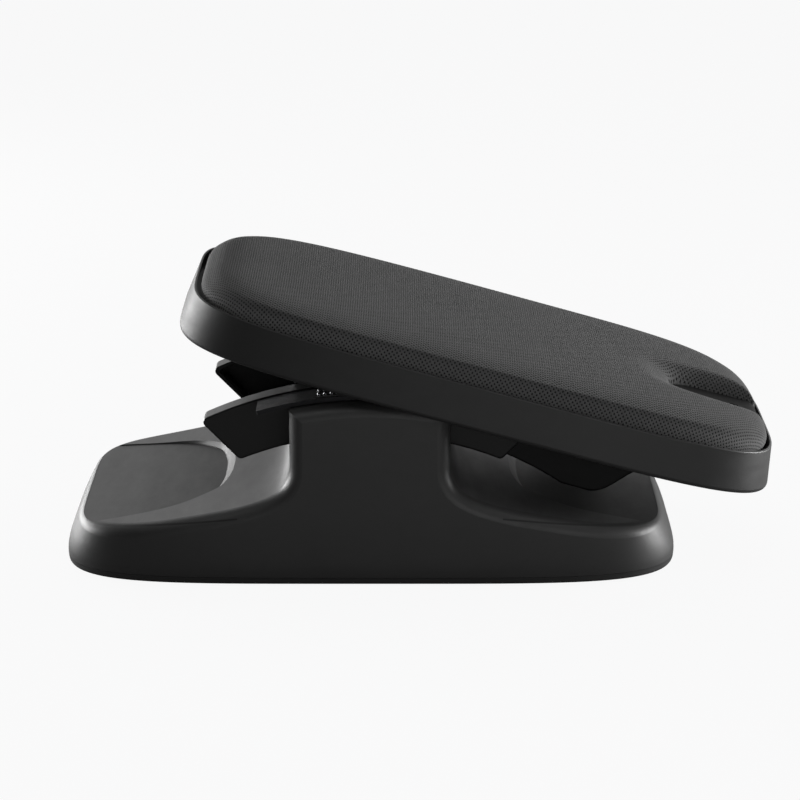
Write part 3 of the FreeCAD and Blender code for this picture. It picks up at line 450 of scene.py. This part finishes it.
def build_pad():
    """The knitted cover: a flat lattice of the knit is laid over the pad, and keeps its length down the sides."""
    step_u, step_v = PITCH_U / 4.0, PITCH_V / 4.0
    depth = 25.0
    out_p, out_n = outline_quarter()
    s = np.linspace(0.0, depth, 76)
    line = out_p[:, None, :] - out_n[:, None, :] * s[None, :, None]
    ds = s[1] - s[0]

    def run_down(side):
        z = height_at(line[..., 0].ravel(), side * line[..., 1].ravel()).reshape(line.shape[:2])
        seg = np.sqrt(np.diff(z, axis=1) ** 2 + ds ** 2) - ds
        excess = np.concatenate([np.cumsum(seg[:, ::-1], axis=1)[:, ::-1], np.zeros((len(out_p), 1))], axis=1)
        return z, -s[None, :] + excess                # flat distance from the outline, falls as s grows
    z, reach = run_down(1.0)
    reach_near = run_down(-1.0)[1]
    wall = z[:, 0] - PAD_LOW

    iu = np.arange(-int(250 / step_u), int(250 / step_u) + 1)
    iv = np.arange(-int(156 / step_v), int(156 / step_v) + 1)
    I, J = np.meshgrid(iu, iv, indexing="ij")
    U, Vv = I * step_u, J * step_v
    x, y = np.abs(U).ravel(), np.abs(Vv).ravel()
    near = np.empty(len(x), int)
    for a in range(0, len(x), 20000):
        d = (x[a:a + 20000, None] - out_p[None, :, 0]) ** 2 + (y[a:a + 20000, None] - out_p[None, :, 1]) ** 2
        near[a:a + 20000] = np.argmin(d, axis=1)
    # refine between neighbouring outline samples
    k0 = np.clip(near, 1, len(out_p) - 2)
    tang = out_p[k0 + 1] - out_p[k0 - 1]
    f = ((x - out_p[k0, 0]) * tang[:, 0] + (y - out_p[k0, 1]) * tang[:, 1]) / (tang ** 2).sum(1) * 2.0
    pos = np.clip(k0 + f, 0, len(out_p) - 1.001)
    k, f = pos.astype(int), pos - pos.astype(int)

    def lerp(arr):
        w = f.reshape((-1,) + (1,) * (arr.ndim - 1))
        return arr[k] * (1 - w) + arr[k + 1] * w
    P, Nn = lerp(out_p), lerp(out_n)
    Nn /= np.linalg.norm(Nn, axis=1)[:, None]
    dF = (x - P[:, 0]) * Nn[:, 0] + (y - P[:, 1]) * Nn[:, 1]
    R, W = np.where((Vv.ravel() < 0.0)[:, None], lerp(reach_near), lerp(reach)), lerp(wall)
    # find s with reach(s) = dF, row by row
    col = np.clip((R > dF[:, None]).sum(1), 1, len(s) - 1)
    r0 = R[np.arange(len(R)), col - 1]
    r1 = R[np.arange(len(R)), col]
    frac = np.clip((r0 - dF) / np.maximum(r0 - r1, 1e-9), 0, 1)
    sv = s[col - 1] + frac * ds
    edge = dF > -depth
    X = np.where(edge, P[:, 0] - Nn[:, 0] * sv, x)
    Y = np.where(edge, P[:, 1] - Nn[:, 1] * sv, y)
    Z = height_at(np.minimum(X, PAD_A * 0.9999), Y)
    drop = dF - R[:, 0]
    on_wall = drop > 0
    X = np.where(on_wall, P[:, 0], X)
    Y = np.where(on_wall, P[:, 1], Y)
    Ztop = lerp(z)[:, 0]
    tuck = np.clip(drop / 9.0, 0, 1) ** 2 * 0.9
    X = np.where(on_wall, X - Nn[:, 0] * tuck, X)
    Y = np.where(on_wall, Y - Nn[:, 1] * tuck, Y)
    Z = np.where(on_wall, Ztop - np.minimum(drop, W), Z)
    clipped = on_wall & (drop >= W - 1e-6)
    X, Y = X * np.sign(U.ravel() + 1e-12), Y * np.sign(Vv.ravel() + 1e-12)
    X = X + PAD_X
    # notch
    Y = np.where(on_wall, Y, down_the_walls(X, Y))
    Z = np.where(on_wall, Z, height_at(np.minimum(np.abs(X - PAD_X), PAD_A * 0.9999), Y))
    nz = notch_height(X, Y)
    Z2 = soft_min(Z, nz, 1.6)
    in_notch = (notch_rho(X, Y) < 1.0) & (X > 100.0)
    Z = np.where(on_wall, np.where(nz < Z, nz, Z), Z2)
    keep_below = in_notch
    # gentle handmade unevenness of the foam under the cover
    soft = 0.16 * np.sin(X / 31.0 + 0.6 * np.sin(Y / 23.0)) * np.sin(Y / 27.0 + 1.3) * (~on_wall)
    Z = Z + soft * np.clip((Z - 312.0) / 10.0, 0, 1)

    shape = I.shape
    G = np.stack([X, Y, Z], -1).reshape(*shape, 3)
    # normals of the smooth sheet
    du = np.gradient(G, axis=0)
    dv = np.gradient(G, axis=1)
    nrm = np.cross(du, dv)
    nrm /= np.maximum(np.linalg.norm(nrm, axis=-1, keepdims=True), 1e-9)
    # eyelets: a dimple where both indices meet the knit's lattice
    a = np.mod(I, 4)
    b = np.mod(J, 4)
    d1 = np.hypot(np.minimum(a, 4 - a) * step_u, np.minimum(b, 4 - b) * step_v * 0.8)
    a2, b2 = np.mod(I + 2, 4), np.mod(J + 2, 4)
    d2 = np.hypot(np.minimum(a2, 4 - a2) * step_u, np.minimum(b2, 4 - b2) * step_v * 0.8)
    d = np.minimum(d1, d2)
    dim = -0.42 * np.clip(1.0 - (d / 0.95) ** 2, 0, 1) + 0.07 * np.clip((d - 0.8) / 0.4, 0, 1)
    flat = (on_wall & (drop > 5.0)).reshape(shape) | keep_below.reshape(shape)
    G = G + nrm * (dim * (~flat))[..., None]
    # snap the two cut edges to a level hem
    cl = clipped.reshape(shape)
    inn = in_notch.reshape(shape)
    rho = notch_rho(G[..., 0], G[..., 1])
    rho = np.maximum(rho, 1e-3)
    sx = NOTCH_CX + (G[..., 0] - NOTCH_CX) / rho
    sy = G[..., 1] / rho
    G[..., 0] = np.where(inn, np.minimum(sx, PAD_A + PAD_X - 1.0), G[..., 0])
    G[..., 1] = np.where(inn, sy, G[..., 1])
    G[..., 2] = np.where(inn | cl, PAD_LOW, G[..., 2])
    dead = cl | inn

    idx = np.arange(I.size).reshape(shape)
    q = np.stack([idx[:-1, :-1], idx[1:, :-1], idx[1:, 1:], idx[:-1, 1:]], -1).reshape(-1, 4)
    alive = (~dead).ravel()
    q = q[alive[q].any(1)]
    used = np.unique(q)
    remap = np.full(I.size, -1)
    remap[used] = np.arange(len(used))
    q = remap[q]
    pts = G.reshape(-1, 3)[used]
    co = to_world(pts[:, 0], pts[:, 1], pts[:, 2])
    me = bpy.data.meshes.new("pad_upholstery")
    me.vertices.add(len(co))
    me.vertices.foreach_set("co", co.astype(np.float32).ravel())
    me.loops.add(len(q) * 4)
    me.loops.foreach_set("vertex_index", q.astype(np.int32).ravel())
    me.polygons.add(len(q))
    me.polygons.foreach_set("loop_start", (np.arange(len(q)) * 4).astype(np.int32))
    me.polygons.foreach_set("loop_total", np.full(len(q), 4, np.int32))
    me.update(calc_edges=True)
    uv = me.uv_layers.new(name="knit")
    flat_uv = np.stack([U.ravel()[used], Vv.ravel()[used]], -1)[q.ravel()] / 1000.0
    uv.data.foreach_set("uv", flat_uv.astype(np.float32).ravel())
    me.validate()
    bm = bmesh.new()
    bm.from_mesh(me)
    bmesh.ops.remove_doubles(bm, verts=[v for v in bm.verts if v.is_boundary], dist=1e-6)
    rim = [e for e in bm.edges if e.is_boundary]
    made = bmesh.ops.holes_fill(bm, edges=rim, sides=0)
    if not made["faces"]:
        bmesh.ops.contextual_create(bm, geom=rim)
    bmesh.ops.recalc_face_normals(bm, faces=bm.faces)
    bm.to_mesh(me)
    bm.free()
    me.polygons.foreach_set("use_smooth", np.ones(len(me.polygons), bool))
    me.update()
    ob = bpy.data.objects.new("pad_upholstery", me)
    scene.collection.objects.link(ob)
    me.materials.append(MATS["mesh_fabric"])
    return ob


pad = build_pad()
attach(pad, "platform")
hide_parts("pad_cover", "pad_foam")

# ---------------------------------------------------------------------- stage
floor_mat = Tree("studio_floor")
floor_mat.bsdf.inputs["Base Color"].default_value = (0.25, 0.25, 0.25, 1.0)
floor_mat.bsdf.inputs["Roughness"].default_value = 0.9
floor_mat.bsdf.inputs["Specular IOR Level"].default_value = 0.0
# the sheet glows evenly to the eye and bounces little light, so the floor stays plain and pale
glow = floor_mat.add("ShaderNodeEmission")
glow.inputs[0].default_value = (0.956, 0.956, 0.958, 1.0)
glow.inputs[1].default_value = 0.972
seen_by = floor_mat.add("ShaderNodeLightPath")
both = floor_mat.add("ShaderNodeMixShader")
pale = floor_mat.add("ShaderNodeAddShader")
soft = floor_mat.add("ShaderNodeBsdfDiffuse")
soft.inputs[0].default_value = (0.035, 0.035, 0.035, 1.0)
floor_mat.link(glow.outputs[0], pale.inputs[0])
floor_mat.link(soft.outputs[0], pale.inputs[1])
floor_mat.link(seen_by.outputs["Is Camera Ray"], both.inputs[0])
floor_mat.link(floor_mat.bsdf.outputs[0], both.inputs[1])
floor_mat.link(pale.outputs[0], both.inputs[2])
floor_mat.link(both.outputs[0], floor_mat.out.inputs[0])
me = bpy.data.meshes.new("studio_floor")
me.from_pydata([(-9, -9, 0), (9, -9, 0), (9, 9, 0), (-9, 9, 0)], [], [(0, 1, 2, 3)])
floor = bpy.data.objects.new("studio_floor", me)
scene.collection.objects.link(floor)
me.materials.append(floor_mat.mat)

cam = bpy.data.objects.new("camera", bpy.data.cameras.new("camera"))
scene.collection.objects.link(cam)
cam.data.lens = 133.07
cam.data.sensor_width = 36.0
cam.data.clip_end = 60.0
cam.location = (0.0212, -2.1200, 0.6932)
cam.rotation_euler = (math.radians(74.5), 0.0, 0.0)
scene.camera = cam


def area(name, where, aim, size, power, size_y=None, color=(1, 1, 1)):
    li = bpy.data.lights.new(name, "AREA")
    li.shape = "RECTANGLE"
    li.size = size
    li.size_y = size_y or size
    li.energy = power
    li.color = color
    o = bpy.data.objects.new(name, li)
    scene.collection.objects.link(o)
    o.location = where
    d = np.array(aim, float) - np.array(where, float)
    from mathutils import Vector
    o.rotation_euler = Vector(d).to_track_quat("-Z", "Y").to_euler()
    return o


area("left_softbox", (-1.42, 0.92, 0.26), (0.0, 0.0, 0.1), 1.4, 36.0, 0.5)
area("right_softbox", (1.65, 0.20, 0.21), (0.0, 0.0, 0.1), 1.1, 30.5, 0.4)
area("top_softbox", (0.0, -0.7, 1.5), (0.0, 0.0, 0.1), 1.2, 4.0, 0.8)
area("front_softbox", (0.5, -2.05, 0.45), (0.0, 0.0, 0.1), 1.3, 5.0, 0.8)

world = bpy.data.worlds.new("studio")
scene.world = world
world.use_nodes = True
nt = world.node_tree
nt.nodes.clear()
wo = nt.nodes.new("ShaderNodeOutputWorld")
seen = nt.nodes.new("ShaderNodeBackground")
seen.inputs[0].default_value = (0.956, 0.956, 0.958, 1)
seen.inputs[1].default_value = 1.0
lit = nt.nodes.new("ShaderNodeBackground")
tc = nt.nodes.new("ShaderNodeTexCoord")
sep = nt.nodes.new("ShaderNodeSeparateXYZ")
nt.links.new(tc.outputs["Generated"], sep.inputs[0])
mr = nt.nodes.new("ShaderNodeMapRange")
mr.interpolation_type = "SMOOTHSTEP"
for k, v in enumerate((None, -0.05, 0.75, 0.0, 1.0)):
    if v is not None:
        mr.inputs[k].default_value = v
nt.links.new(sep.outputs[1], mr.inputs[0])
nt.links.new(mr.outputs[0], lit.inputs[1])
path = nt.nodes.new("ShaderNodeLightPath")
mixer = nt.nodes.new("ShaderNodeMixShader")
nt.links.new(path.outputs["Is Camera Ray"], mixer.inputs[0])
nt.links.new(lit.outputs[0], mixer.inputs[1])
nt.links.new(seen.outputs[0], mixer.inputs[2])
nt.links.new(mixer.outputs[0], wo.inputs[0])

scene.view_settings.view_transform = "Standard"
scene.view_settings.look = "None"
scene.view_settings.exposure = 0.0
scene.view_settings.gamma = 1.0
